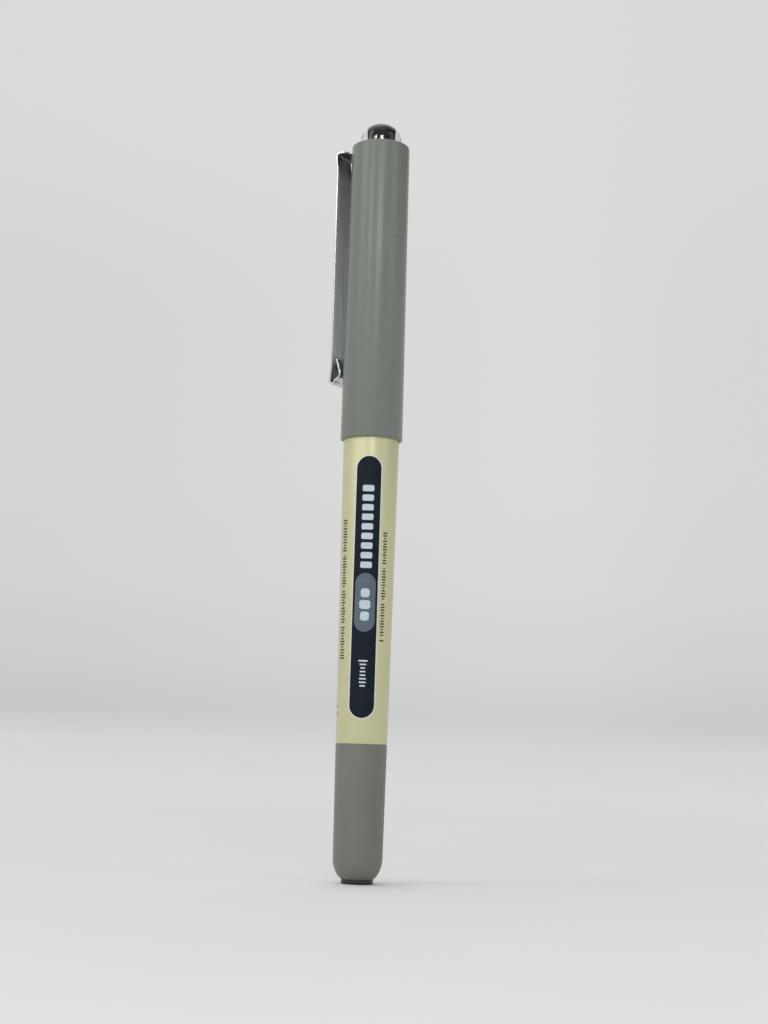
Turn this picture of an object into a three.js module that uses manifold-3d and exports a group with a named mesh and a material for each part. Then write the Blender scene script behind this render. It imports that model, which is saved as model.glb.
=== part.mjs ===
// Capped rollerball pen with a free-ink barrel, in millimetres, +Z up.
// The pen stands on its tail: the origin is the centre of the tail plug's flat face and +Z runs
// along the axis to the crown. The pocket clip is on the -X side of the cap.
import * as THREE from "three";
import { mergeVertices } from "three/addons/utils/BufferGeometryUtils.js";
import Module from "manifold-3d";

const wasm = await Module();
wasm.setup();

// ---- Driving sizes -------------------------------------------------------------------------

// Barrel: a moulded ink tank with a rounded tail and a stepped neck.
const BARREL_LENGTH = 86.75; // tail end to the front of the neck
const TAIL_RADIUS = 4.47; // at the end of the tail's rounding
const SEAT_RADIUS = 5.165; // at the step where the cap seats
const BARREL_WALL = 0.95;
const TAIL_ROUNDING_HEIGHT = 3.1;
const TAIL_ROUNDING_WIDTH = 1.5;
const TAIL_ROUNDING_BULGE = 0.25; // how near the rounding comes to a square corner, from 0.5 to 0
const TAIL_FLOOR = 3.2; // thickness of the barrel's closed end, around the plug's hole
const NECK_LENGTH = 4.4;
const NECK_WALL = 0.7;
const SNAP_BEAD = 0.1; // how far the snap bead stands out of the neck

// Tail plug, pressed into the end of the barrel.
const PLUG_HEIGHT = 0.9; // the button that shows below the barrel
const PLUG_RIM_INSET = 0.05; // how far the button lies inside the barrel's end
const PLUG_FOOT_INSET = 0.11; // how much smaller the flat face is than the button
const PLUG_SPIGOT_RADIUS = 2.45;
const PLUG_SPIGOT_LENGTH = 4.6;

// Champagne film round the barrel, and the dark label on it.
const FILM_START = 23.9; // above the barrel's end
const FILM_THICKNESS = 0.2;
const LABEL_MARGIN = 4.4; // from the film's lower edge to the label
const LABEL_LENGTH = 47.8;
const LABEL_WIDTH = 4.85; // straight across
const LABEL_THICKNESS = 0.12;
const LABEL_FROM_CLIP = 117.5; // degrees round the pen, from the clip to the label

// Front section: the clear grip that holds the ink collector, and its nose.
const SECTION_LENGTH = 24.9; // the grip, from the barrel to the nose's shoulder
const SECTION_SPIGOT = 8; // how deep it goes into the barrel
const SECTION_STEP = 0.2; // the grip is this much smaller than the neck
const SECTION_COLLAR = 1.5;
const GRIP_TAPER = 0.55;
const SECTION_WALL = 0.85;
const NOSE_SHOULDER = 1.6;
const NOSE_STEP = 0.9;
const NOSE_LENGTH = 4.8;
const NOSE_TAPER = 0.4;
const NOSE_WALL = 1;

// Collector: a finned comb that takes up surplus ink, on a plug that closes the tank.
const COLLECTOR_PLUG = 6.5;
const COLLECTOR_FINS = 11;
const FIN_SHARE = 0.45; // of the pitch
const COLLECTOR_CORE_RADIUS = 2;
const COLLECTOR_SLIT = 0.5;

// Fibre wicks, the holder, the steel point and its ball.
const WICK_RADIUS = 0.75;
const WICK_IN_TANK = 6;
const HOLDER_FLANGE = 1.15;
const HOLDER_FLANGE_RADIUS = 2.55;
const HOLDER_CONE = 2.2;
const POINT_SHANK_RADIUS = 1.2;
const POINT_IN_HOLDER = 4.8;
const POINT_SHOWN = 5.6; // from the holder to the ball's crown
const POINT_CONE = 3.5;
const POINT_LIP = 0.06;
const TIP_WICK_RADIUS = 0.45;
const BALL_RADIUS = 0.35;
const BALL_SHOWN = 0.15; // how far the ball stands out of the point
const BALL_GAP = 0.03;

// Cap: a drafted shell with an inner cap that seals the nose.
const CAP_OVERLAP = 2.8; // how far the lip reaches past the barrel's step
const CAP_FIT = 0.1; // radial room between the lip and the barrel
const CAP_LIP_WALL = 0.46;
const CAP_WALL = 0.68;
const CAP_DRAFT = 0.0055; // radius lost for each millimetre of length
const CAP_EDGE = 0.5; // rounding at the top
const LIP_EDGE = 0.3; // rounding at the mouth
const NECK_GAP = 0.19; // radial room between the cap's bore and the neck
const INNER_CAP_WALL = 0.7;
const INNER_CAP_ROOM = 0.25; // round the nose
const INNER_CAP_COLLAR = 2.4;
const TIP_ROOM = 1.05; // ahead of the ball
const INNER_CAP_END = 1.1; // thickness of the inner cap's closed end
const INNER_CAP_GAP = 0.65; // from the inner cap to the crown

// Crown: a clear dome on a spigot, with the ink-colour insert inside it.
const CROWN_RADIUS = 3.85;
const CROWN_WALL_HEIGHT = 1.2; // the straight part of the dome
const CROWN_DOME_HEIGHT = 3.3;
const CROWN_SPIGOT = 6.1;
const CROWN_SOCKET = 4.2; // depth of the cap's hole for the crown
const INSERT_RADIUS = 1.7;
const INSERT_TOP_WALL = 0.4; // clear plastic above the insert

// Pocket clip: one strip of spring steel, folded back under itself at its end.
const CLIP_THICKNESS = 0.38;
const CLIP_LENGTH = 45; // below the bridge's top
const CLIP_TOP_WIDTH = 5.2;
const CLIP_END_WIDTH = 4.3;
const CLIP_TAB_WIDTH = 3.2;
const CLIP_STANDOFF = 3; // from the cap's top edge to the arm's middle, measured outwards
const CLIP_BELOW_TOP = 0.55; // from the cap's top to the bridge's upper face
const CLIP_SPLAY = 0; // how much further out the arm runs below its bend
const CLIP_BEND = 0.7;
const CLIP_TAB_BEND = 0.35;
const CLIP_LEG = 1.9; // the tab's end, turned down behind the cap's wall
const CLIP_FOLD = 0.5;
const CLIP_TONGUE = 4.9;
const TONGUE_LINE = [[0.83, 0.3], [1, 0.5], [0.8, 0.72], [0.5, 0.95]]; // shares: towards the cap, up
const CLIP_DISH = 0.3; // how far the arm's edges lie nearer the cap than its middle
const CLIP_TONGUE_CROWN = 0.33; // how far the tongue's middle stands towards the cap
const CLIP_CONTACT_GAP = 0.12; // between the tongue and the cap
const SLOT_GAP = 0.17; // round the tab in the cap's wall

const FIT = 0.05; // radial gap between pieces that are pressed together
const FACE_GAP = 0.1; // between two pieces that meet end to end
const MANY_SIDES = 48;
const SIDES = 32;
const FEW_SIDES = 20;

// ---- Places along the axis ------------------------------------------------------------------

const barrelEnd = PLUG_HEIGHT;
const barrelFront = barrelEnd + BARREL_LENGTH;
const capSeat = barrelFront - NECK_LENGTH;
const capMouth = capSeat - CAP_OVERLAP;
const coneStart = barrelEnd + TAIL_ROUNDING_HEIGHT;
const filmStart = barrelEnd + FILM_START;
const labelStart = filmStart + LABEL_MARGIN;
const tankEnd = barrelEnd + TAIL_FLOOR;
const sectionRear = barrelFront - SECTION_SPIGOT;
const gripStart = barrelFront + FACE_GAP;
const gripEnd = barrelFront + SECTION_LENGTH;
const noseStart = gripEnd + NOSE_SHOULDER;
const noseEnd = noseStart + NOSE_LENGTH;
const holderStart = gripEnd + NOSE_SHOULDER / 2;
const holderFlange = noseEnd + FACE_GAP;
const holderEnd = holderFlange + HOLDER_FLANGE + HOLDER_CONE;
const pointRear = holderEnd - POINT_IN_HOLDER;
const tip = holderEnd + POINT_SHOWN;
const ballCentre = tip - BALL_RADIUS;
const innerCapTop = tip + TIP_ROOM + INNER_CAP_END;
const crownRear = innerCapTop + INNER_CAP_GAP;
const capTop = crownRear + CROWN_SPIGOT;
const socketFloor = capTop - CROWN_SOCKET;
const crownTop = capTop + CROWN_WALL_HEIGHT + CROWN_DOME_HEIGHT;

// ---- Radii ----------------------------------------------------------------------------------

const barrelRadius = (z) =>
  THREE.MathUtils.mapLinear(z, coneStart, capSeat, TAIL_RADIUS, SEAT_RADIUS);
const lipBore = SEAT_RADIUS + CAP_FIT;
const capRadius = (z) => lipBore + CAP_LIP_WALL - CAP_DRAFT * (z - capMouth);
const capBore = (z) => capRadius(z) - CAP_WALL;
const neckRadius = capBore(capSeat) - NECK_GAP;
const neckBore = neckRadius - NECK_WALL;
const plugHole = PLUG_SPIGOT_RADIUS + FIT;
const gripRadius = neckRadius - SECTION_STEP;
const gripFrontRadius = gripRadius - GRIP_TAPER;
const sectionBore = gripFrontRadius - SECTION_WALL;
const noseRadius = gripFrontRadius - NOSE_STEP;
const noseBore = noseRadius - NOSE_WALL;
const wickHole = WICK_RADIUS + 0.1;
const innerCapBore = noseRadius + INNER_CAP_ROOM;
const innerCapRadius = capBore(socketFloor) - FIT;
const crownSocket = CROWN_RADIUS + FIT;
const insertHole = INSERT_RADIUS + FIT;

// The clip's places, in the plane of the pen's axis and the clip.
const clipTop = capTop - CLIP_BELOW_TOP;
const bridge = clipTop - CLIP_THICKNESS / 2;
const armAtTop = capRadius(capTop) + CLIP_STANDOFF - 0.2;
const arm = armAtTop + CLIP_SPLAY;
const clipEnd = clipTop - CLIP_LENGTH;
const clipLeg = crownSocket - 0.7;
const slotHalfHeight = CLIP_THICKNESS / 2 + SLOT_GAP;
const slotHalfWidth = CLIP_TAB_WIDTH / 2 + SLOT_GAP;

// ---- Helpers ----------------------------------------------------------------------------------

const plastic = (color, roughness) => new THREE.MeshStandardMaterial({ color, roughness, metalness: 0 });
const steel = (color, roughness) => new THREE.MeshStandardMaterial({ color, roughness, metalness: 1 });
const clear = (color, opacity) =>
  new THREE.MeshStandardMaterial({ color, roughness: 0.08, metalness: 0, transparent: true, opacity });

const capGrey = plastic(0x777c72, 0.42);
const inkBlack = plastic(0x16171a, 0.3);

function named(name, geometry, material) {
  const mesh = new THREE.Mesh(geometry, material);
  mesh.name = name;
  return mesh;
}

// Turns a profile of radius and height about the axis. Its outer side runs upwards.
function turned(points, sides, arcPoints = 2) {
  const isPath = points instanceof THREE.Path;
  const profile = isPath ? points.getPoints(arcPoints) : points.map(([r, z]) => new THREE.Vector2(r, z));
  return new THREE.LatheGeometry(profile, sides).rotateX(Math.PI / 2);
}

// A ring profile, closed on itself.
const closed = (points) => [...points, points[0]];

function toSolid(geometry) {
  const bare = geometry.index ? geometry.toNonIndexed() : geometry.clone();
  bare.deleteAttribute("normal");
  bare.deleteAttribute("uv");
  const merged = mergeVertices(bare, 1e-4);
  return new wasm.Manifold(
    new wasm.Mesh({
      numProp: 3,
      vertProperties: merged.attributes.position.array,
      triVerts: new Uint32Array(merged.index.array),
    }),
  );
}

function toGeometry(solid) {
  const mesh = solid.getMesh();
  return new THREE.BufferGeometry()
    .setAttribute("position", new THREE.BufferAttribute(mesh.vertProperties, 3))
    .setIndex(new THREE.BufferAttribute(mesh.triVerts, 1))
    .toNonIndexed();
}

const cut = (body, tool) => toGeometry(toSolid(body).subtract(toSolid(tool)));

// A box from its lowest and highest corners.
function block([x0, y0, z0], [x1, y1, z1]) {
  const box = new THREE.BoxGeometry(x1 - x0, y1 - y0, z1 - z0);
  return box.translate((x0 + x1) / 2, (y0 + y1) / 2, (z0 + z1) / 2);
}

// ---- Barrel side --------------------------------------------------------------------------------

function barrelTube() {
  const filmSeat = FILM_THICKNESS + FIT;
  const bead = capSeat + NECK_LENGTH / 2;
  const [round, height] = [TAIL_ROUNDING_WIDTH, TAIL_ROUNDING_HEIGHT];
  const profile = new THREE.Path();
  profile.moveTo(plugHole, barrelEnd);
  profile.lineTo(TAIL_RADIUS - round, barrelEnd);
  profile.quadraticCurveTo(
    TAIL_RADIUS - round * TAIL_ROUNDING_BULGE,
    barrelEnd + height * TAIL_ROUNDING_BULGE,
    TAIL_RADIUS,
    coneStart,
  );
  profile.lineTo(barrelRadius(filmStart), filmStart);
  profile.lineTo(barrelRadius(filmStart) - filmSeat, filmStart);
  profile.lineTo(SEAT_RADIUS - filmSeat, capSeat);
  profile.lineTo(neckRadius, capSeat);
  profile.lineTo(neckRadius, bead - 0.6);
  profile.lineTo(neckRadius + SNAP_BEAD, bead);
  profile.lineTo(neckRadius, bead + 0.6);
  profile.lineTo(neckRadius, barrelFront);
  profile.lineTo(neckBore, barrelFront);
  profile.lineTo(neckBore, sectionRear);
  profile.lineTo(barrelRadius(tankEnd) - BARREL_WALL, tankEnd);
  profile.lineTo(plugHole, tankEnd);
  profile.lineTo(plugHole, barrelEnd);
  return named("barrel_tube", turned(profile, MANY_SIDES, 5), capGrey);
}

function barrelFilm() {
  const end = capSeat - FACE_GAP;
  const start = filmStart + 0.02;
  const profile = closed([
    [barrelRadius(start) - FILM_THICKNESS, start],
    [barrelRadius(start), start],
    [barrelRadius(end), end],
    [barrelRadius(end) - FILM_THICKNESS, end],
  ]);
  return named("barrel_film", turned(profile, MANY_SIDES), plastic(0xbdbb94, 0.34));
}

function labelPanel() {
  const end = labelStart + LABEL_LENGTH;
  const gap = 0.03;
  const skin = turned(
    closed([
      [barrelRadius(labelStart - 1) + gap, labelStart - 1],
      [barrelRadius(labelStart - 1) + gap + LABEL_THICKNESS, labelStart - 1],
      [barrelRadius(end + 1) + gap + LABEL_THICKNESS, end + 1],
      [barrelRadius(end + 1) + gap, end + 1],
    ]),
    MANY_SIDES,
  );
  const half = LABEL_WIDTH / 2;
  const outline = new THREE.Shape();
  outline.absarc(0, end - half, half, 0, Math.PI, false);
  outline.absarc(0, labelStart + half, half, Math.PI, 2 * Math.PI, false);
  const azimuth = THREE.MathUtils.degToRad(LABEL_FROM_CLIP - 90);
  const outwards = new THREE.Vector3(Math.sin(azimuth), -Math.cos(azimuth), 0);
  const across = new THREE.Vector3(Math.cos(azimuth), Math.sin(azimuth), 0);
  const options = { depth: 2 * SEAT_RADIUS, bevelEnabled: false, curveSegments: 9 };
  const cutter = new THREE.ExtrudeGeometry(outline, options);
  cutter.applyMatrix4(new THREE.Matrix4().makeBasis(across, new THREE.Vector3(0, 0, 1), outwards));
  return named("label_panel", toGeometry(toSolid(skin).intersect(toSolid(cutter))), plastic(0x232a33, 0.28));
}

function tailPlug() {
  const button = TAIL_RADIUS - TAIL_ROUNDING_WIDTH - PLUG_RIM_INSET;
  const foot = button - PLUG_FOOT_INSET;
  const roundingHeight = PLUG_HEIGHT / 2;
  const under = barrelEnd - 0.02;
  const spigotEnd = barrelEnd + PLUG_SPIGOT_LENGTH;
  const profile = new THREE.Path();
  profile.moveTo(0, 0);
  profile.lineTo(foot, 0);
  profile.absellipse(foot, roundingHeight, PLUG_FOOT_INSET, roundingHeight, -Math.PI / 2, 0, false);
  profile.lineTo(button, under);
  profile.lineTo(PLUG_SPIGOT_RADIUS, under);
  profile.lineTo(PLUG_SPIGOT_RADIUS, spigotEnd - 0.4);
  profile.lineTo(PLUG_SPIGOT_RADIUS - 0.4, spigotEnd);
  profile.lineTo(0, spigotEnd);
  return named("tail_plug", turned(profile, MANY_SIDES), inkBlack);
}

function inkFill() {
  const start = barrelEnd + PLUG_SPIGOT_LENGTH + 0.3;
  const end = sectionRear - 0.3;
  const rearBore = barrelRadius(tankEnd) - BARREL_WALL;
  const bore = (z) => THREE.MathUtils.mapLinear(z, tankEnd, sectionRear, rearBore, neckBore) - 2 * FIT;
  const holeFloor = sectionRear - WICK_IN_TANK - 0.3;
  return named(
    "ink_fill",
    turned(
      [
        [0, start],
        [bore(start), start],
        [bore(end), end],
        [wickHole, end],
        [wickHole, holeFloor],
        [0, holeFloor],
      ],
      SIDES,
    ),
    plastic(0x0c0c10, 0.1),
  );
}

function frontSection() {
  const spigot = neckBore - FIT;
  const boreEnd = gripEnd - 0.3;
  return named(
    "front_section",
    turned(
      closed([
        [sectionBore, sectionRear],
        [spigot, sectionRear],
        [spigot, gripStart],
        [neckRadius, gripStart],
        [neckRadius, gripStart + SECTION_COLLAR],
        [gripRadius, gripStart + SECTION_COLLAR + 0.3],
        [gripFrontRadius, gripEnd],
        [noseRadius, noseStart],
        [noseRadius - NOSE_TAPER, noseEnd],
        [noseBore, noseEnd],
        [noseBore, boreEnd],
        [sectionBore, boreEnd],
      ]),
      MANY_SIDES,
    ),
    clear(0x8f9498, 0.45),
  );
}

// The comb's profile is one tooth repeated from the plug to the front end.
function collector() {
  const rear = sectionRear + 0.4;
  const plugEnd = rear + COLLECTOR_PLUG;
  const front = gripEnd - 0.6;
  const rim = sectionBore - FIT;
  const pitch = (front - plugEnd) / COLLECTOR_FINS;
  const profile = [
    [wickHole, rear],
    [rim, rear],
    [rim, plugEnd],
  ];
  for (let fin = 1; fin <= COLLECTOR_FINS; fin++) {
    const finEnd = plugEnd + fin * pitch;
    const finStart = finEnd - FIN_SHARE * pitch;
    profile.push([COLLECTOR_CORE_RADIUS, finEnd - pitch], [COLLECTOR_CORE_RADIUS, finStart]);
    profile.push([rim, finStart], [rim, finEnd]);
  }
  profile.push([wickHole, front]);
  const slit = block(
    [-COLLECTOR_SLIT / 2, COLLECTOR_CORE_RADIUS - 0.6, plugEnd - 1],
    [COLLECTOR_SLIT / 2, sectionBore + 1, front + 1],
  );
  return named("collector", cut(turned(closed(profile), FEW_SIDES), slit), plastic(0x2b2c30, 0.4));
}

function feedWick() {
  const rear = sectionRear - WICK_IN_TANK;
  const front = pointRear - FACE_GAP;
  const rod = new THREE.CylinderGeometry(WICK_RADIUS, WICK_RADIUS, front - rear, FEW_SIDES)
    .rotateX(Math.PI / 2)
    .translate(0, 0, (front + rear) / 2);
  return named("feed_wick", rod, plastic(0x3a3a3e, 0.9));
}

function tipHolder() {
  const spigot = noseBore - FIT;
  const shankHole = POINT_SHANK_RADIUS + FIT;
  return named(
    "tip_holder",
    turned(
      closed([
        [wickHole, holderStart],
        [spigot, holderStart],
        [spigot, holderFlange],
        [HOLDER_FLANGE_RADIUS, holderFlange],
        [HOLDER_FLANGE_RADIUS, holderFlange + HOLDER_FLANGE],
        [shankHole + 0.35, holderEnd],
        [shankHole, holderEnd],
        [shankHole, pointRear - 0.05],
        [wickHole, pointRear - 0.05],
      ]),
      SIDES,
    ),
    plastic(0x2b2d2e, 0.4),
  );
}

function steelPoint() {
  const coneFoot = tip - POINT_CONE;
  const lipTop = tip - BALL_SHOWN;
  const socket = BALL_RADIUS + BALL_GAP;
  const lipBoreRadius = Math.sqrt(BALL_RADIUS ** 2 - (lipTop - ballCentre) ** 2) + BALL_GAP;
  const wickBore = TIP_WICK_RADIUS + 0.08;
  const capillary = 0.18;
  const wickFloor = coneFoot + 0.9;
  return named(
    "steel_point",
    turned(
      closed([
        [wickBore, pointRear],
        [POINT_SHANK_RADIUS, pointRear],
        [POINT_SHANK_RADIUS, coneFoot - 0.5],
        [POINT_SHANK_RADIUS - 0.18, coneFoot],
        [socket + POINT_LIP, ballCentre - 0.1],
        [lipBoreRadius + POINT_LIP, lipTop],
        [lipBoreRadius, lipTop],
        [socket, ballCentre],
        [socket, ballCentre - BALL_RADIUS * 0.6],
        [capillary, ballCentre - BALL_RADIUS - BALL_GAP],
        [capillary, wickFloor + 0.3],
        [wickBore, wickFloor],
      ]),
      SIDES,
    ),
    steel(0xc9c9c6, 0.22),
  );
}

function tipWick() {
  const rear = pointRear + 0.05;
  const front = tip - POINT_CONE + 0.8;
  const rod = new THREE.CylinderGeometry(TIP_WICK_RADIUS, TIP_WICK_RADIUS, front - rear, FEW_SIDES)
    .rotateX(Math.PI / 2)
    .translate(0, 0, (front + rear) / 2);
  return named("tip_wick", rod, plastic(0x3a3a3e, 0.9));
}

function writingBall() {
  const ball = named("writing_ball", new THREE.SphereGeometry(BALL_RADIUS, 12, 8), steel(0x9a9a9a, 0.15));
  ball.position.z = ballCentre;
  return ball;
}

// ---- Cap side ---------------------------------------------------------------------------------

// The hole in the cap's wall that the clip's tab goes through.
const clipSlot = () =>
  block(
    [-capRadius(capTop) - 1, -slotHalfWidth, bridge - slotHalfHeight],
    [-crownSocket + 0.6, slotHalfWidth, bridge + slotHalfHeight],
  );

function capTube() {
  const mouth = capRadius(capMouth);
  const step = capSeat + FACE_GAP;
  const profile = new THREE.Path();
  profile.moveTo(lipBore, capMouth);
  profile.lineTo(mouth - LIP_EDGE, capMouth);
  profile.absarc(mouth - LIP_EDGE, capMouth + LIP_EDGE, LIP_EDGE, -Math.PI / 2, 0, false);
  profile.absarc(capRadius(capTop) - CAP_EDGE, capTop - CAP_EDGE, CAP_EDGE, 0, Math.PI / 2, false);
  profile.lineTo(crownSocket, capTop);
  profile.lineTo(crownSocket, socketFloor);
  profile.lineTo(capBore(socketFloor), socketFloor);
  profile.lineTo(capBore(step), step);
  profile.lineTo(lipBore, step);
  profile.lineTo(lipBore, capMouth);
  return named("cap_tube", cut(turned(profile, MANY_SIDES), clipSlot()), capGrey);
}

// A liner over the nose. Its two collars hold it in the cap.
function innerCap() {
  const mouth = noseStart + 0.2;
  const body = innerCapBore + INNER_CAP_WALL;
  const ceiling = innerCapTop - INNER_CAP_END;
  const topBore = innerCapBore - NOSE_TAPER;
  return named(
    "inner_cap",
    turned(
      [
        [0, ceiling],
        [topBore, ceiling],
        [innerCapBore, mouth],
        [body, mouth],
        [body, mouth + 1.5],
        [innerCapRadius, mouth + 1.5],
        [innerCapRadius, mouth + 1.5 + INNER_CAP_COLLAR],
        [body, mouth + 1.5 + INNER_CAP_COLLAR],
        [body, innerCapTop - INNER_CAP_COLLAR],
        [innerCapRadius, innerCapTop - INNER_CAP_COLLAR],
        [innerCapRadius, innerCapTop],
        [0, innerCapTop],
      ],
      MANY_SIDES,
    ),
    plastic(0xd7d8d2, 0.5),
  );
}

function crownDome() {
  const domeStart = capTop + CROWN_WALL_HEIGHT;
  const holeTop = crownTop - INSERT_TOP_WALL;
  const holeRound = insertHole * 0.6;
  const profile = new THREE.Path();
  profile.moveTo(0, holeTop);
  profile.absellipse(0, holeTop - holeRound, insertHole, holeRound, Math.PI / 2, 0, true);
  profile.lineTo(insertHole, crownRear);
  profile.lineTo(CROWN_RADIUS, crownRear);
  profile.absellipse(0, domeStart, CROWN_RADIUS, CROWN_DOME_HEIGHT, 0, Math.PI / 2, false);
  const notch = block(
    [-CROWN_RADIUS - 1, -slotHalfWidth, bridge - CLIP_LEG - 2 * SLOT_GAP],
    [-clipLeg + CLIP_THICKNESS / 2 + SLOT_GAP, slotHalfWidth, bridge + slotHalfHeight],
  );
  return named("crown_dome", cut(turned(profile, MANY_SIDES), notch), clear(0xf2f4f4, 0.3));
}

function crownInsert() {
  const top = crownTop - INSERT_TOP_WALL - FIT;
  const round = insertHole * 0.6 - FIT;
  const profile = new THREE.Path();
  profile.moveTo(0, crownRear + 0.2);
  profile.lineTo(INSERT_RADIUS, crownRear + 0.2);
  profile.absellipse(0, top - round, INSERT_RADIUS, round, 0, Math.PI / 2, false);
  return named("crown_insert", turned(profile, SIDES), inkBlack);
}

// The clip's middle line, from the tab's turned-down end, out through the cap's wall, down the
// arm, and back up the tongue. Its x is the distance from the axis, outwards.
function clipLine() {
  const { lerp } = THREE.MathUtils;
  const bump = capRadius(clipEnd + CLIP_TONGUE / 2) + CLIP_CONTACT_GAP + CLIP_THICKNESS / 2;
  const foldEnd = arm - 2 * CLIP_FOLD;
  const line = new THREE.Path();
  line.moveTo(clipLeg, bridge - CLIP_LEG);
  line.absarc(clipLeg + CLIP_TAB_BEND, bridge - CLIP_TAB_BEND, CLIP_TAB_BEND, Math.PI, Math.PI / 2, true);
  for (const share of [0.35, 0.45, 0.7]) line.lineTo(lerp(clipLeg, armAtTop, share), bridge);
  line.absarc(armAtTop - CLIP_BEND, bridge - CLIP_BEND, CLIP_BEND, Math.PI / 2, 0, true);
  for (const drop of [2, 4, 7, 11]) line.lineTo(armAtTop + (CLIP_SPLAY * drop) / 11, bridge - drop);
  for (const rise of [18, 9, 5.5, 3.5, 2]) line.lineTo(arm, clipEnd + rise);
  line.absarc(arm - CLIP_FOLD, clipEnd + CLIP_FOLD + CLIP_THICKNESS / 2, CLIP_FOLD, 0, -Math.PI, true);
  line.splineThru([
    ...TONGUE_LINE.map(
      ([out, rise]) => new THREE.Vector2(lerp(foldEnd, bump, out), clipEnd + rise * CLIP_TONGUE),
    ),
  ]);
  return line.getPoints(3);
}

// Bends a flat strip of unit width along a line, whose x is the distance outwards.
function bentStrip(line, thickness, acrossSteps) {
  const steps = line.length - 1;
  const strip = new THREE.BoxGeometry(thickness, 1, steps, 1, acrossSteps, steps);
  const position = strip.attributes.position;
  for (let v = 0; v < position.count; v++) {
    const i = Math.round(position.getZ(v) + steps / 2);
    const along = new THREE.Vector2().subVectors(line[Math.min(i + 1, steps)], line[Math.max(i - 1, 0)]);
    const place = new THREE.Vector2(along.y, -along.x).normalize();
    place.multiplyScalar(position.getX(v)).add(line[i]);
    position.setXYZ(v, place.x, position.getY(v), place.y);
  }
  return strip;
}

// Gives the strip its width, which narrows down the arm and at the tab, and its dish, and puts
// it on the -X side.
function formClip(strip) {
  const { smoothstep, mapLinear, lerp } = THREE.MathUtils;
  const position = strip.attributes.position;
  const tongueTop = clipEnd + CLIP_TONGUE + 1;
  for (let v = 0; v < position.count; v++) {
    const out = position.getX(v);
    const across = position.getY(v);
    const z = position.getZ(v);
    const armWidth = mapLinear(z, clipTop, clipEnd, CLIP_TOP_WIDTH, CLIP_END_WIDTH);
    const onArm = smoothstep(out, capRadius(capTop) + 0.3, capRadius(capTop) + 1.2);
    const width = z > tongueTop ? lerp(CLIP_TAB_WIDTH, armWidth, onArm) : armWidth;
    const aboveFold = smoothstep(z, clipEnd + 1, clipEnd + 3);
    const belowBend = 1 - smoothstep(z, bridge - 6, bridge - 2);
    const onTongue = z < tongueTop && out < arm - CLIP_FOLD;
    const dish = onTongue ? CLIP_TONGUE_CROWN * aboveFold : -CLIP_DISH * aboveFold * belowBend;
    position.setXYZ(v, -(out + dish * (2 * across) ** 2), -across * width, z);
  }
  return strip;
}

function pocketClip() {
  return named("pocket_clip", formClip(bentStrip(clipLine(), CLIP_THICKNESS, 4)), steel(0xb9bab7, 0.2));
}

// ---- Assembly -----------------------------------------------------------------------------------

const pen = new THREE.Group();
const barrel = new THREE.Group();
barrel.add(barrelTube(), barrelFilm(), labelPanel(), tailPlug(), inkFill(), feedWick(), collector());
barrel.add(frontSection(), tipHolder(), steelPoint(), tipWick(), writingBall());
const cap = new THREE.Group();
cap.add(capTube(), innerCap(), crownDome(), crownInsert(), pocketClip());
pen.add(barrel, cap);

export default pen;
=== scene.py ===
import math

import bmesh
import bpy
from mathutils import Matrix, Vector


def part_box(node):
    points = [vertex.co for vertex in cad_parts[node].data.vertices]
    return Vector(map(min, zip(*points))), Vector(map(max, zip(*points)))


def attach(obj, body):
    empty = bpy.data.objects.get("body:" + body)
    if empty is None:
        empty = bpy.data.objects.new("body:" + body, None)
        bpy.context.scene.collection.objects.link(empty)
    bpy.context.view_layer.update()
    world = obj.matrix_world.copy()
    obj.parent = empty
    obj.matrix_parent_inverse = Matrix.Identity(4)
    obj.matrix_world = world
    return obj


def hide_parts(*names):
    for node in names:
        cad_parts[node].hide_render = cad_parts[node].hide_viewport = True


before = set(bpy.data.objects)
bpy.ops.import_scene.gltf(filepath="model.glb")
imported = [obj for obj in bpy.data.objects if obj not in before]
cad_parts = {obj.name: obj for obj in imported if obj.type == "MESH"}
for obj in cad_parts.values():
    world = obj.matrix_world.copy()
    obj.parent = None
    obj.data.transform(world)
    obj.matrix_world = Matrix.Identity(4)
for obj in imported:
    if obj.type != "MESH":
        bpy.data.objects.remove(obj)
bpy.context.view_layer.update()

MM = 0.001
# How many sides a turned piece has: in view, inside the pen, and on a rod or the ball.
OUTER_SIDES = 160
INNER_SIDES = 96
ROD_SIDES = 48
# Degrees between two faces from which their edge is sharp, and the same on a softer piece.
SHARP = 32
SHARP_SOFT = 40

# ---- Sizes, in millimetres, from the CAD boxes where they give them ---------------------------


def span(node):
    """The node's lowest and highest z, and its largest x, in millimetres."""
    low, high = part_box(node)
    return low.z / MM, high.z / MM, high.x / MM


plug_low, plug_top, PLUG_RADIUS = span("tail_plug")
barrel_end, barrel_front, _ = span("barrel_tube")
film_start, film_end, FILM_TOP_RADIUS = span("barrel_film")
label_start, label_end, _ = span("label_panel")
section_rear, section_nose, NECK_RADIUS = span("front_section")
comb_rear, comb_front, COMB_RADIUS = span("collector")
wick_rear, wick_front, WICK_RADIUS = span("feed_wick")
holder_rear, holder_front, HOLDER_RADIUS = span("tip_holder")
point_rear, point_front, POINT_RADIUS = span("steel_point")
_, ball_top, BALL_RADIUS = span("writing_ball")
cap_mouth, cap_top, CAP_MOUTH_RADIUS = span("cap_tube")
liner_mouth, liner_top, LINER_RADIUS = span("inner_cap")
crown_rear, crown_top, CROWN_RADIUS = span("crown_dome")
insert_rear, insert_top, INSERT_RADIUS = span("crown_insert")
clip_end, clip_top, _ = span("pocket_clip")

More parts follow.
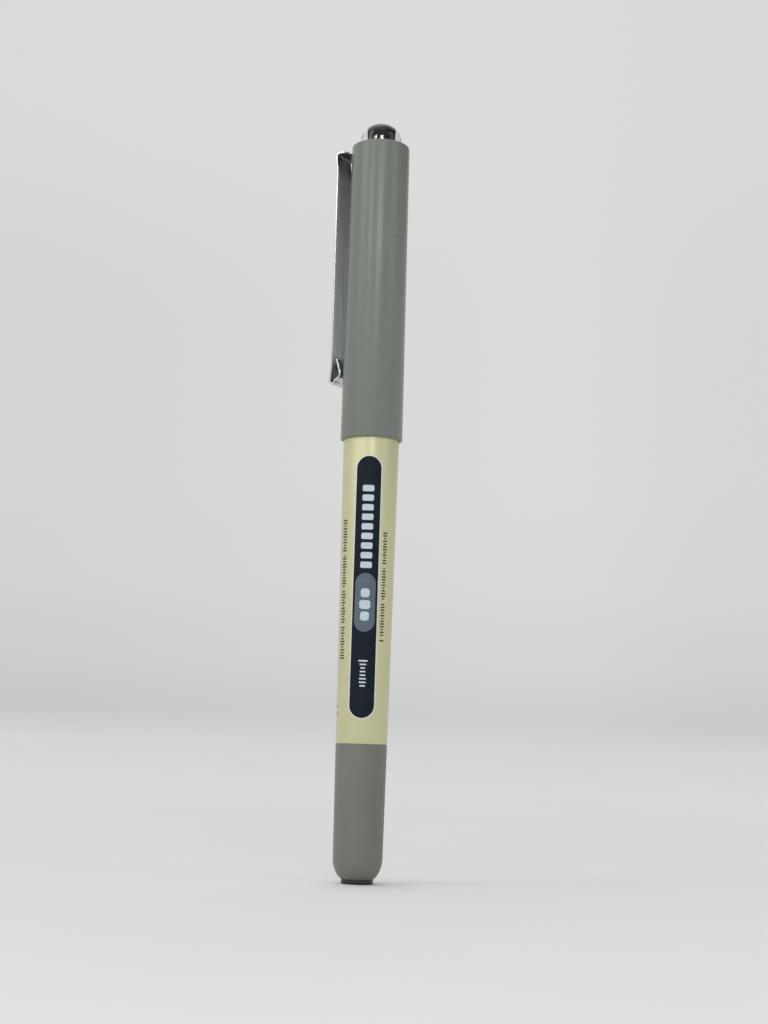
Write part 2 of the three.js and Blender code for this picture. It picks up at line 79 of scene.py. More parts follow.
FACE_GAP = 0.1  # between end faces that meet
SIDE_GAP = 0.05  # between a bore and what is pressed into it
WICK_GAP = 0.1
BALL_GAP = 0.03
THIN_GAP = 0.02  # under the film's lower edge, and between the plug's rim and the barrel
SLOT_GAP = 0.17  # round the clip in its slot
TAIL_RADIUS = 4.47
TAIL_ROUNDING = (1.5, 3.1)  # width and height
TAIL_ROUNDING_BULGE = 0.25  # how near the rounding comes to a square corner, from 0.5 to 0
NECK_LENGTH = 4.4
CAP_DRAFT = 0.0055
CAP_EDGE = 0.5
CROWN_WALL_HEIGHT = 1.2
CLIP_THICKNESS = 0.38
CLIP_TAB_WIDTH = 3.2
CLIP_TONGUE = 4.9  # height of the end folded back under the clip
LABEL_WIDTH = 4.85
LABEL_AZIMUTH = 27.5

barrel_seat = barrel_front - NECK_LENGTH
cone_start = barrel_end + TAIL_ROUNDING[1]


def barrel_radius(z):
    share = (z - cone_start) / (barrel_seat - cone_start)
    return TAIL_RADIUS + (FILM_TOP_RADIUS - TAIL_RADIUS) * share


def cap_radius(z):
    return CAP_MOUTH_RADIUS - CAP_DRAFT * (z - cap_mouth)


# ---- Mesh helpers -------------------------------------------------------------------------------

PATCH_BAND = 2.5  # height of a patch's bands of faces
FILLET_SHARE = 0.49  # of a side, which one fillet may take


def link(name, data):
    """A new object in the scene with this data."""
    thing = bpy.data.objects.new(name, data)
    bpy.context.scene.collection.objects.link(thing)
    return thing


def smooth(mesh, sharp_deg):
    """Smooth shading, apart from the sharp edges."""
    mesh.shade_smooth()
    mesh.set_sharp_from_angle(angle=math.radians(sharp_deg))


def finish_mesh(name, bm, sharp_deg=SHARP):
    """Makes an object of the mesh, with vertices in one place merged and its faces turned outwards."""
    bmesh.ops.remove_doubles(bm, verts=bm.verts, dist=1e-7)
    bmesh.ops.recalc_face_normals(bm, faces=bm.faces)
    mesh = bpy.data.meshes.new(name)
    bm.to_mesh(mesh)
    bm.free()
    smooth(mesh, sharp_deg)
    return link(name, mesh)


def polar_vertex(bm, radius, angle, z):
    """A vertex at a radius and height in millimetres."""
    return bm.verts.new((radius * MM * math.cos(angle), radius * MM * math.sin(angle), z * MM))


def rounded(corners, steps=6, closed=False):
    """A profile of (radius, z, fillet) corners as (radius, z) points, each fillet an arc."""
    points = []
    count = len(corners)
    for i, (r, z, fillet) in enumerate(corners):
        here = Vector((r, z))
        at_end = not closed and i in (0, count - 1)
        if fillet <= 0 or at_end:
            points.append(here)
            continue
        back = Vector(corners[i - 1][:2]) - here
        on = Vector(corners[(i + 1) % count][:2]) - here
        half = back.angle(on) / 2
        reach = min(fillet / math.tan(half), FILLET_SHARE * back.length, FILLET_SHARE * on.length)
        radius = reach * math.tan(half)
        centre = here + (back.normalized() + on.normalized()).normalized() * (radius / math.sin(half))
        start = here + back.normalized() * reach - centre
        end = here + on.normalized() * reach - centre
        turn = start.angle_signed(end)
        for k in range(steps + 1):
            points.append(centre + Matrix.Rotation(-turn * k / steps, 2) @ start)
    return [(p.x, p.y) for p in points]


def lathe(name, points, closed=False, sides=OUTER_SIDES, sharp_deg=SHARP):
    """Turns a profile in millimetres about the z axis. An open profile starts on the axis."""
    bm = bmesh.new()
    rings = []
    for r, z in points:
        turn = [2 * math.pi * k / sides for k in range(sides if r > 1e-6 else 1)]
        rings.append([polar_vertex(bm, r, a, z) for a in turn])
    for low, high in zip(rings, rings[1:] + (rings[:1] if closed else [])):
        for k in range(sides):
            n = (k + 1) % sides
            if len(low) == 1:
                bm.faces.new([low[0], high[n], high[k]])
            elif len(high) == 1:
                bm.faces.new([low[k], low[n], high[0]])
            else:
                bm.faces.new([low[k], low[n], high[n], high[k]])
    return finish_mesh(name, bm, sharp_deg)


def ellipse(centre_r, centre_z, width, height, start_deg, end_deg, steps=14):
    """Points on an ellipse, from one angle to another."""
    angles = [math.radians(start_deg + (end_deg - start_deg) * k / steps) for k in range(steps + 1)]
    return [(centre_r + width * math.cos(a), centre_z + height * math.sin(a)) for a in angles]


def add_patch(
    bm,
    low_z,
    high_z,
    half_width,
    offsets,
    corner=None,
    azimuth=LABEL_AZIMUTH,
    columns=10,
    end_steps=10,
):
    """A thin closed patch wrapped on the barrel, between two offsets from its surface. Its corners
    are rounded, and where no corner radius is given its ends are half circles."""
    corner = half_width if corner is None else corner
    straight = high_z - low_z - 2 * corner
    rows = []
    for k in range(end_steps + 1):
        a = math.pi / 2 * k / end_steps
        rows.append((low_z + corner * (1 - math.cos(a)), half_width - corner * (1 - math.sin(a))))
    bands = max(2, int(straight / PATCH_BAND))
    rows += [(low_z + corner + straight * k / bands, half_width) for k in range(1, bands)]
    for k in range(end_steps, -1, -1):
        a = math.pi / 2 * k / end_steps
        rows.append((high_z - corner * (1 - math.cos(a)), half_width - corner * (1 - math.sin(a))))
    facing = math.radians(azimuth - 90)
    layers = []
    for offset in offsets:
        grid = []
        for z, half in rows:
            line = []
            for c in range(columns + 1):
                # A row at a pointed end is kept open by a hair, and merged to one vertex later.
                x = max(half, 1e-4) * (2 * c / columns - 1)
                radius = barrel_radius(z) + offset
                line.append(polar_vertex(bm, radius, facing + math.asin(x / radius), z))
            grid.append(line)
        layers.append(grid)
    last = len(rows) - 1
    for grid in layers:
        for i in range(last):
            for c in range(columns):
                bm.faces.new([grid[i][c], grid[i][c + 1], grid[i + 1][c + 1], grid[i + 1][c]])
    rim = [(0, c) for c in range(columns)] + [(i, columns) for i in range(last)]
    rim += [(last, c) for c in range(columns, 0, -1)] + [(i, 0) for i in range(last, 0, -1)]
    under, over = layers
    for (i, c), (j, d) in zip(rim, rim[1:] + rim[:1]):
        bm.faces.new([under[i][c], under[j][d], over[j][d], over[i][c]])


def patches(name, items):
    """One mesh of patches. Each item holds what add_patch takes."""
    bm = bmesh.new()
    for item in items:
        add_patch(bm, **item)
    return finish_mesh(name, bm, SHARP_SOFT)


# ---- Materials ------------------------------------------------------------------------------------


class Shading:
    """A Principled material and short calls for the nodes that give it detail."""

    def __init__(self, name, **inputs):
        self.material = bpy.data.materials.new(name)
        self.material.use_nodes = True
        self.nodes = self.material.node_tree.nodes
        self.links = self.material.node_tree.links
        self.shader = self.nodes["Principled BSDF"]
        self.place = self.nodes.new("ShaderNodeTexCoord").outputs["Object"]
        self.normal = None
        for key, value in inputs.items():
            self.shader.inputs[key.replace("_", " ")].default_value = value

    def stretched(self, scale):
        """Object coordinates. A scale under 1 draws a pattern out along that axis."""
        mapping = self.nodes.new("ShaderNodeMapping")
        mapping.inputs["Scale"].default_value = scale
        self.links.new(self.place, mapping.inputs["Vector"])
        return mapping.outputs["Vector"]

    def noise(self, size_mm, detail, stretch=(1, 1, 1)):
        node = self.nodes.new("ShaderNodeTexNoise")
        node.inputs["Scale"].default_value = 1 / (size_mm * MM)
        node.inputs["Detail"].default_value = detail
        self.links.new(self.stretched(stretch), node.inputs["Vector"])
        return node.outputs["Fac"]

    def cells(self, size_mm):
        node = self.nodes.new("ShaderNodeTexVoronoi")
        node.inputs["Scale"].default_value = 1 / (size_mm * MM)
        self.links.new(self.place, node.inputs["Vector"])
        return node.outputs["Color"]

    def remap(self, value, low, high, from_low=0.3, from_high=0.7):
        """Spreads a value between two limits, from the span that noise mostly fills."""
        node = self.nodes.new("ShaderNodeMapRange")
        node.inputs["From Min"].default_value = from_low
        node.inputs["From Max"].default_value = from_high
        node.inputs["To Min"].default_value = low
        node.inputs["To Max"].default_value = high
        self.links.new(value, node.inputs["Value"])
        return node.outputs["Result"]

    def mix(self, factor, first, second):
        """Mixes two colours, each a plain colour or another node's output."""
        node = self.nodes.new("ShaderNodeMix")
        node.data_type = "RGBA"
        self.links.new(factor, node.inputs["Factor"])
        for name, value in (("A", first), ("B", second)):
            socket = next(s for s in node.inputs if s.name == name and s.type == "RGBA")
            if isinstance(value, tuple):
                socket.default_value = (*value, 1)
            else:
                self.links.new(value, socket)
        return next(s for s in node.outputs if s.type == "RGBA")

    def drive(self, name, value):
        self.links.new(value, self.shader.inputs[name])

    def mottled(self, first, second, *noise):
        """A colour that wanders between two. The rest is what noise takes."""
        return self.mix(self.remap(self.noise(*noise), 0, 1), first, second)

    def vary_colour(self, first, second, *noise):
        self.drive("Base Color", self.mottled(first, second, *noise))

    def vary_roughness(self, low, high, *noise):
        self.drive("Roughness", self.remap(self.noise(*noise), low, high))

    def bump(self, height, depth_mm):
        """Adds a bump on top of the bumps before it."""
        node = self.nodes.new("ShaderNodeBump")
        node.inputs["Distance"].default_value = depth_mm * MM
        self.links.new(height, node.inputs["Height"])
        if self.normal:
            self.links.new(self.normal, node.inputs["Normal"])
        self.normal = node.outputs["Normal"]
        self.links.new(self.normal, self.shader.inputs["Normal"])


def fill_ramp(ramp, stops, tint):
    """Sets a colour ramp's stops, (position, level) from 0 to 1, each a level of one tint."""
    for position, level in stops:
        ends = {0.0: ramp.elements[0], 1.0: ramp.elements[-1]}
        element = ends.get(position) or ramp.elements.new(position)
        element.color = (*(level * share for share in tint), 1)


def moulded(name, dark, light, roughness, depth=0.004, **inputs):
    """Moulded plastic: faint mottling, soft flow lines along the draw, a fine satin grain."""
    s = Shading(name, **inputs)
    s.vary_colour(dark, light, 3.5, 4, (1, 1, 0.35))
    s.vary_roughness(roughness - 0.02, roughness + 0.03, 1.2, 5, (1, 1, 0.3))
    s.bump(s.noise(0.09, 2), depth * 0.5)
    s.bump(s.noise(1.6, 2, (1, 1, 0.4)), depth * 0.8)
    return s.material


def assign(piece, material):
    """Gives a piece one material in place of any that it has."""
    piece.data.materials.clear()
    piece.data.materials.append(material)
    return piece


def place(piece, body, slot, material, *nodes):
    """Gives a piece its material and body, and hides the CAD nodes that it replaces. The slot is not used."""
    assign(piece, material)
    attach(piece, body)
    if nodes:
        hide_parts(*nodes)
    return piece


grey = moulded("grey_moulding", (0.177, 0.194, 0.168), (0.185, 0.203, 0.177), 0.27, 0.0008, IOR=1.46)
tail_grey = moulded("tail_moulding", (0.162, 0.172, 0.140), (0.178, 0.189, 0.155), 0.42, IOR=1.48)
black = moulded("black_moulding", (0.010, 0.011, 0.011), (0.016, 0.017, 0.016), 0.22)
pin_black = moulded("pin_moulding", (0.010, 0.011, 0.012), (0.016, 0.017, 0.019), 0.5, IOR=1.08)
comb_plastic = moulded("comb_moulding", (0.022, 0.022, 0.025), (0.032, 0.032, 0.036), 0.42)
liner_plastic = moulded("liner_moulding", (0.62, 0.63, 0.59), (0.68, 0.69, 0.65), 0.5)


def film_material():
    """Metallised film: champagne tint, fine flake, faint draw lines along the barrel."""
    s = Shading("champagne_film", Metallic=0.5, Coat_Weight=0.2, Coat_Roughness=0.2)
    flake = s.remap(s.cells(0.06), 0, 0.35, 0.0, 1.0)
    tint = s.mottled((0.590, 0.580, 0.328), (0.630, 0.618, 0.364), 2.5, 3, (1, 1, 0.2))
    s.drive("Base Color", s.mix(flake, tint, (0.72, 0.71, 0.49)))
    s.vary_roughness(0.42, 0.50, 0.9, 4, (1, 1, 0.15))
    s.bump(s.noise(0.05, 1), 0.0012)
    s.bump(s.noise(0.5, 2, (1, 1, 0.06)), 0.002)
    return s.material


def print_material(name, dark, light, roughness, **inputs):
    """Screen-printed ink: a slight tooth and a little unevenness in the film of ink."""
    s = Shading(name, **inputs)
    s.vary_colour(dark, light, 0.8, 4)
    s.vary_roughness(roughness - 0.04, roughness + 0.06, 0.4, 3)
    s.bump(s.noise(0.12, 2), 0.002)
    return s.material


def steel_material(name, roughness, grain):
    """Steel with fine rolling lines and faint smears."""
    s = Shading(name, Metallic=1.0)
    s.vary_colour((0.58, 0.58, 0.56), (0.66, 0.66, 0.645), 2.0, 3)
    s.vary_roughness(roughness - 0.05, roughness + 0.07, 0.6, 4, grain)
    s.bump(s.noise(0.08, 2, grain), 0.0015)
    return s.material


CLIP_GRAIN = (1, 1, 0.04)


def inner_steel_painted_shade_material():
    """The strip's inner side: duller and darker than the outer side, with painted shade in the top bend and
    inside the fold.
    """
    s = Shading("clip_inner_steel_painted_shade", Metallic=1.0)
    split = s.nodes.new("ShaderNodeSeparateXYZ")
    s.links.new(s.place, split.inputs["Vector"])
    ramp = s.nodes.new("ShaderNodeValToRGB")
    fold = CLIP_TONGUE / (clip_top - clip_end)
    # Painted shade by height: dark inside the fold at the bottom, lighter up the arm, and dark again in the
    # top bend.
    stops = [
        (0.0, 0.10),
        (fold * 0.9, 0.10),
        (fold * 1.2, 0.32),
        (0.55, 0.33),
        (0.9, 0.24),
        (0.955, 0.14),
        (1.0, 0.05),
    ]
    fill_ramp(ramp.color_ramp, stops, (1, 1, 0.97))
    height = s.remap(split.outputs["Z"], 0, 1, clip_end * MM, clip_top * MM)
    s.links.new(height, ramp.inputs["Fac"])
    smear = s.remap(s.noise(1.5, 4, (1, 1, 0.1)), 0, 0.25)
    s.drive("Base Color", s.mix(smear, ramp.outputs["Color"], (0.12, 0.115, 0.105)))
    s.vary_roughness(0.20, 0.32, 0.6, 4, CLIP_GRAIN)
    s.bump(s.noise(0.08, 2, CLIP_GRAIN), 0.0015)
    return s.material


def clear_material(name, colour, roughness):
    """Clear moulded plastic, with very faint flow in its surface."""
    s = Shading(name, Transmission_Weight=1.0, IOR=1.49)
    s.vary_colour(colour, tuple(min(1, c * 1.03) for c in colour), 2.0, 2)
    s.vary_roughness(roughness, roughness + 0.03, 0.7, 3)
    s.bump(s.noise(1.5, 2), 0.003)
    return s.material


def fibre_material():
    """Bonded fibre, with its strands along the rod."""
    s = Shading("bonded_fibre", Roughness=0.95)
    s.vary_colour((0.02, 0.02, 0.024), (0.06, 0.06, 0.068), 0.1, 3, (1, 1, 0.05))
    s.bump(s.noise(0.08, 3, (1, 1, 0.05)), 0.03)
    return s.material


def ink_material():
    """Wet black ink."""
    s = Shading("wet_ink", Coat_Weight=1.0)
    s.vary_colour((0.003, 0.003, 0.005), (0.006, 0.006, 0.009), 4, 2)
    s.vary_roughness(0.04, 0.08, 6, 2)
    return s.material


film = film_material()
navy = print_material("label_ink", (0.0042, 0.0090, 0.0165), (0.0075, 0.0135, 0.0225), 0.42, IOR=1.25)
border_ink = print_material("border_ink", (0.68, 0.69, 0.66), (0.76, 0.77, 0.74), 0.35, Metallic=0.2)
pale_ink = print_material("mark_ink", (0.52, 0.60, 0.68), (0.60, 0.68, 0.75), 0.35)
slate_ink = print_material("badge_ink", (0.085, 0.120, 0.150), (0.100, 0.140, 0.170), 0.35)
dark_ink = print_material("side_ink", (0.020, 0.019, 0.015), (0.034, 0.032, 0.026), 0.45)
clip_steel = steel_material("clip_steel", 0.20, CLIP_GRAIN)
# The clip's inner side, with painted shade in its top bend and in its fold.
clip_inner_painted_shade = inner_steel_painted_shade_material()
turned_steel = steel_material("turned_steel", 0.20, (0.3, 0.3, 3))
crown_clear = clear_material("crown_clear", (0.97, 0.98, 0.98), 0.01)
smoke_clear = clear_material("smoke_clear", (0.62, 0.65, 0.67), 0.04)
fibre = fibre_material()
ink = ink_material()

# ---- Barrel -------------------------------------------------------------------------------------

PLUG_HOLE = 2.5
PLUG_SPIGOT = 2.45
PLUG_RIM = (0.11, 0.45)  # width and height of the foot's rounded edge
FILM_THICKNESS = 0.2
FILM_SEAT = 0.25
NECK_WALL = 0.7
NECK_BORE = NECK_RADIUS - NECK_WALL
TANK_WALL = 0.95
TANK_END = barrel_end + 3.2
TAIL_STEPS = 16


def build_barrel():
    """The ink barrel: its tail's rounding is one curve, and a low bead on its neck holds the cap."""
    width, height = TAIL_ROUNDING
    foot = Vector((TAIL_RADIUS - width, barrel_end))
    pull = Vector((TAIL_RADIUS - width * TAIL_ROUNDING_BULGE, barrel_end + height * TAIL_ROUNDING_BULGE))
    side = Vector((TAIL_RADIUS, cone_start))
    shares = [k / TAIL_STEPS for k in range(TAIL_STEPS + 1)]
    tail = [foot * (1 - t) ** 2 + pull * 2 * t * (1 - t) + side * t**2 for t in shares]
    bead = barrel_seat + NECK_LENGTH / 2
    step = film_start - THIN_GAP
    step_radius = barrel_radius(film_start)
    outer = rounded(
        [
            (TAIL_RADIUS, cone_start, 0),
            (step_radius, step, 0.05),
            (step_radius - FILM_SEAT, step, 0),
            (FILM_TOP_RADIUS - FILM_SEAT, barrel_seat, 0.06),
            (NECK_RADIUS, barrel_seat, 0.05),
            (NECK_RADIUS, bead - 0.6, 0.3),
            (NECK_RADIUS + 0.1, bead, 0.25),
            (NECK_RADIUS, bead + 0.6, 0.3),
            (NECK_RADIUS, barrel_front, 0.1),
            (NECK_BORE, barrel_front, 0.06),
            (NECK_BORE, section_rear, 0),
            (barrel_radius(TANK_END) - TANK_WALL, TANK_END, 0.4),
            (PLUG_HOLE, TANK_END, 0),
            (PLUG_HOLE, barrel_end, 0),
        ],
        4,
    )
    edge = [(PLUG_HOLE, barrel_end + 0.03), (PLUG_HOLE + 0.03, barrel_end)]
    return lathe("barrel_shell", [*edge, *(tuple(p) for p in tail), *outer[1:-1]], closed=True)


place(build_barrel(), "barrel", "grey_plastic", tail_grey, "barrel_tube")


def build_film():
    low, high = barrel_radius(film_start), barrel_radius(film_end)
    profile = rounded(
        [
            (low - FILM_THICKNESS, film_start, 0),
            (low, film_start, 0.03),
            (high, film_end, 0.03),
            (high - FILM_THICKNESS, film_end, 0),
        ],
        3,
        closed=True,
    )
    return lathe("film_wrap", profile, closed=True)


place(build_film(), "barrel", "champagne_film", film, "barrel_film")


LABEL_HALF = LABEL_WIDTH / 2
BORDER = 0.2
LABEL_SINK = -0.02  # offsets are from the film's surface, outwards
LABEL_LIFT = 0.05
LABEL_COLUMNS = 24


def printed_on(surface):
    """The offsets of a thin layer of ink on a surface that has an offset itself."""
    return surface - 0.01, surface + 0.012


def mark_bars(low_z, bars, half_width, corner, offsets):
    """Plain bars up the label, each given as (gap below it, its length, share of the half width)."""
    items = []
    z = low_z
    for gap, length, share in bars:
        z += gap
        items.append(
            {
                "low_z": z,
                "high_z": z + length,
                "half_width": half_width * share,
                "offsets": offsets,
                "corner": min(corner, length / 2),
            }
        )
        z += length
    return items


def label_layer(name, inset, lift):
    """A pill of the label's shape, made smaller all round by the inset."""
    layer = {
        "low_z": label_start + inset,
        "high_z": label_end - inset,
        "half_width": LABEL_HALF - inset,
        "offsets": (LABEL_SINK, lift),
        "columns": LABEL_COLUMNS,
    }
    return patches(name, [layer])


place(label_layer("label_border", 0, LABEL_LIFT - 0.02), "barrel", "label", border_ink)
place(label_layer("label_print", BORDER, LABEL_LIFT), "barrel", "label", navy, "label_panel")

ON_LABEL = printed_on(LABEL_LIFT)
ON_BADGE = printed_on(ON_LABEL[1])
BADGE_LOW = label_start + 15.6
BADGE_LENGTH = 10.6
BADGE_BARS = [(0, 1.6, 0.8), (0.5, 1.6, 1), (0.5, 1.6, 0.8)]
LARGE_BARS = [(0.6, 1.15, 1)] * 9
LARGE_LOW = label_start + 26.5
SMALL_BARS = [(0.36, 0.28, share) for share in (0.6, 0.75, 0.75, 0.6, 0.6, 0.5, 0.7, 1)]
SMALL_LOW = label_start + 5.4

badge = {
    "low_z": BADGE_LOW,
    "high_z": BADGE_LOW + BADGE_LENGTH,
    "half_width": 1.85,
    "offsets": ON_LABEL,
    "columns": 16,
}
place(patches("label_badge", [badge]), "barrel", "label", slate_ink)
marks = mark_bars(LARGE_LOW, LARGE_BARS, 1.05, 0.3, ON_LABEL)
marks += mark_bars(SMALL_LOW, SMALL_BARS, 0.85, 0.1, ON_LABEL)
place(patches("label_marks", marks), "barrel", "label", pale_ink)
badge_marks = mark_bars(BADGE_LOW + 2.0, BADGE_BARS, 1.0, 0.5, ON_BADGE)
place(patches("badge_marks", badge_marks), "barrel", "label", pale_ink)

TICK_LENGTH = 0.27
TICK_SHARES = [1, 1, 0.5, 1, 0.75, 1, 1, 0.6, 1, 0.5, 0.85]
TICK_RUN = 13  # the last stroke of each run is left out
# Azimuth from the label's, top end, how many, half width and pitch: a long column of strokes on
# each side of the label, and two strokes by themselves near the tail.
TICK_COLUMNS = [(-55, 65.2, 51, 0.62, 0.5), (41, 63.0, 40, 0.46, 0.5), (-70, 31.6, 2, 0.3, 1.4)]


def ticks(turn, high_z, count, half_width, pitch):
    """A column of thin printed strokes across the barrel, from the top down."""
    items = []
    for k in range(count):
        if k % TICK_RUN == TICK_RUN - 1:
            continue
        z = high_z - k * pitch
        items.append(
            {
                "low_z": z - TICK_LENGTH,
                "high_z": z,
                "half_width": half_width * TICK_SHARES[k % len(TICK_SHARES)],
                "offsets": printed_on(0),
                "corner": 0.05,
                "azimuth": LABEL_AZIMUTH + turn,
                "columns": 4,
                "end_steps": 2,
            }
        )
    return items


side = [item for column in TICK_COLUMNS for item in ticks(*column)]
place(patches("side_marks", side), "barrel", "champagne_film", dark_ink)


def build_tail_button():
    """The plug in the tail. The pen stands on its flat foot."""
    width, height = PLUG_RIM
    under = barrel_end - THIN_GAP
    rim = ellipse(PLUG_RADIUS - width, height, width, height, -90, 0, 10)
    spigot = rounded(
        [(PLUG_RADIUS, under, 0), (PLUG_SPIGOT, under, 0.02), (PLUG_SPIGOT, plug_top, 0.4), (0, plug_top, 0)],
        4,
    )
    return lathe("tail_button", [(0, plug_low), *rim, *spigot])


place(build_tail_button(), "barrel", "black_plastic", black, "tail_plug")

# ---- Front section, hidden by the cap at rest -----------------------------------------------------

GRIP_RADIUS = NECK_RADIUS - 0.2
GRIP_FRONT = GRIP_RADIUS - 0.55
GRIP_WALL = 0.85
GRIP_BORE = GRIP_FRONT - GRIP_WALL
NOSE_RADIUS = GRIP_FRONT - 0.9
NOSE_WALL = 1
NOSE_LENGTH = 4.8
SHOULDER_LENGTH = 1.6
grip_start = barrel_front + FACE_GAP
nose_start = section_nose - NOSE_LENGTH
grip_end = nose_start - SHOULDER_LENGTH


def build_grip():
    bore_end = grip_end - 0.3
    collar = NECK_BORE - SIDE_GAP
    profile = rounded(
        [
            (GRIP_BORE, section_rear, 0.05),
            (collar, section_rear, 0.1),
            (collar, grip_start, 0.03),
            (NECK_RADIUS, grip_start, 0.08),
            (NECK_RADIUS, grip_start + 1.5, 0.12),
            (GRIP_RADIUS, grip_start + 1.8, 0.2),
            (GRIP_FRONT, grip_end, 0.5),
            (NOSE_RADIUS, nose_start, 0.4),
            (NOSE_RADIUS - 0.4, section_nose, 0.15),
            (NOSE_RADIUS - NOSE_WALL, section_nose, 0.03),
            (NOSE_RADIUS - NOSE_WALL, bore_end, 0.05),
            (GRIP_BORE, bore_end, 0.1),
        ],
        5,
        closed=True,
    )
    return lathe("grip_section", profile, closed=True)


place(build_grip(), "barrel", "smoke_plastic", smoke_clear, "front_section")


COMB_FINS = 11
COMB_PLUG = 6.5
COMB_CORE = 2
FIN_SHARE = 0.45  # of the pitch from one fin to the next


def build_comb():
    """The collector: a plug, then one fin repeated to the front."""
    plug_end = comb_rear + COMB_PLUG
    pitch = (comb_front - plug_end) / COMB_FINS
    bore = WICK_RADIUS + WICK_GAP
    corners = [(bore, comb_rear, 0), (COMB_RADIUS, comb_rear, 0.1), (COMB_RADIUS, plug_end, 0.06)]
    for fin in range(1, COMB_FINS + 1):
        fin_end = plug_end + fin * pitch
        fin_start = fin_end - FIN_SHARE * pitch
        corners += [(COMB_CORE, fin_end - pitch, 0.05), (COMB_CORE, fin_start, 0.05)]
        corners += [(COMB_RADIUS, fin_start, 0.06), (COMB_RADIUS, fin_end, 0.06)]
    corners.append((bore, comb_front, 0))
    return lathe("collector_comb", rounded(corners, 2, closed=True), closed=True, sides=INNER_SIDES)


place(build_comb(), "barrel", "dark_plastic", comb_plastic, "collector")


def build_wick():
    corners = [(0, wick_rear, 0), (WICK_RADIUS, wick_rear, 0.08), (WICK_RADIUS, wick_front, 0.08)]
    return lathe("ink_wick", rounded([*corners, (0, wick_front, 0)], 3), sides=ROD_SIDES)


place(build_wick(), "barrel", "fibre", fibre, "feed_wick")


def build_holder():
    """The nose piece: pressed into the section, with a flange on its end and a hole for the point."""
    flange = section_nose + FACE_GAP
    body = NOSE_RADIUS - NOSE_WALL - SIDE_GAP
    hole = POINT_RADIUS + SIDE_GAP
    hole_end = point_rear - SIDE_GAP
    bore = WICK_RADIUS + WICK_GAP
    profile = rounded(
        [
            (bore, holder_rear, 0.05),
            (body, holder_rear, 0.15),
            (body, flange, 0.03),
            (HOLDER_RADIUS, flange, 0.1),
            (HOLDER_RADIUS, flange + 1.15, 0.2),
            (hole + 0.35, holder_front, 0.08),
            (hole, holder_front, 0.04),
            (hole, hole_end, 0),
            (bore, hole_end, 0),
        ],
        4,
        closed=True,
    )
    return lathe("point_holder", profile, closed=True, sides=INNER_SIDES)


place(build_holder(), "barrel", "dark_plastic", comb_plastic, "tip_holder")


ball_centre = ball_top - BALL_RADIUS
POINT_CONE = 3.5
POINT_BORE = 0.53
CAPILLARY = 0.18
POINT_LIP = 0.06  # the steel's thickness round the ball


def build_point():
    """The turned steel point: a bore for the wick, a capillary, and a lip that keeps the ball in."""
    cone_foot = ball_top - POINT_CONE
    socket = BALL_RADIUS + BALL_GAP
    lip_bore = math.sqrt(BALL_RADIUS**2 - (point_front - ball_centre) ** 2) + BALL_GAP
    profile = rounded(
        [
            (POINT_BORE, point_rear, 0),
            (POINT_RADIUS, point_rear, 0.08),
            (POINT_RADIUS, cone_foot - 0.5, 0.05),
            (POINT_RADIUS - 0.18, cone_foot, 0.15),
            (socket + POINT_LIP, ball_centre - 0.1, 0.1),
            (lip_bore + POINT_LIP, point_front, 0.02),
            (lip_bore, point_front, 0),
            (socket, ball_centre, 0.05),
            (socket, ball_centre - BALL_RADIUS * 0.6, 0.05),
            (CAPILLARY, ball_centre - BALL_RADIUS - BALL_GAP, 0),
            (CAPILLARY, cone_foot + 1.2, 0),
            (POINT_BORE, cone_foot + 0.9, 0),
        ],
        4,
        closed=True,
    )
    return lathe("writing_point", profile, closed=True, sides=INNER_SIDES)


place(build_point(), "barrel", "steel", turned_steel, "steel_point")


def build_ball():
    arc = ellipse(0, ball_centre, BALL_RADIUS, BALL_RADIUS, -90, 90, 24)
    return lathe("rolling_ball", [(0, arc[0][1]), *arc[1:-1], (0, arc[-1][1])], sides=ROD_SIDES)


place(build_ball(), "ball", "steel", turned_steel, "writing_ball")
assign(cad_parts["ink_fill"], ink)
assign(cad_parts["tip_wick"], fibre)

# ---- Cap ------------------------------------------------------------------------------------------

CROWN_SOCKET = CROWN_RADIUS + SIDE_GAP
CLIP_LEG_INSET = 0.7  # from the crown's socket to the middle of the clip's leg
SOCKET_FLOOR = cap_top - 4.2
LIP_BORE = CAP_MOUTH_RADIUS - 0.46
CAP_WALL = 0.68
CLIP_LEG = 1.9  # height of the leg inside the cap
CLIP_HALF = CLIP_THICKNESS / 2
bridge = clip_top - CLIP_HALF  # the middle of the strip where it crosses the cap's wall
clip_leg = CROWN_SOCKET - CLIP_LEG_INSET
SLOT_HALF_HEIGHT = CLIP_HALF + SLOT_GAP
SLOT_HALF_WIDTH = CLIP_TAB_WIDTH / 2 + SLOT_GAP


def cut_box(piece, low, high):
    """Cuts a box, given in millimetres, out of a piece."""
    low, high = Vector(low), Vector(high)
    bm = bmesh.new()
    bmesh.ops.create_cube(bm, size=1)
    bmesh.ops.scale(bm, vec=(high - low) * MM, verts=bm.verts)
    bmesh.ops.translate(bm, vec=(high + low) / 2 * MM, verts=bm.verts)
    cutter = finish_mesh("cutter", bm)
    boolean = piece.modifiers.new("cut", "BOOLEAN")
    boolean.operation = "DIFFERENCE"
    boolean.solver = "EXACT"
    boolean.object = cutter
    evaluated = piece.evaluated_get(bpy.context.evaluated_depsgraph_get())
    mesh = bpy.data.meshes.new_from_object(evaluated)
    piece.modifiers.clear()
    old = piece.data
    piece.data = mesh
    bpy.data.meshes.remove(old)
    bpy.data.objects.remove(cutter)
    smooth(mesh, SHARP)
    return piece


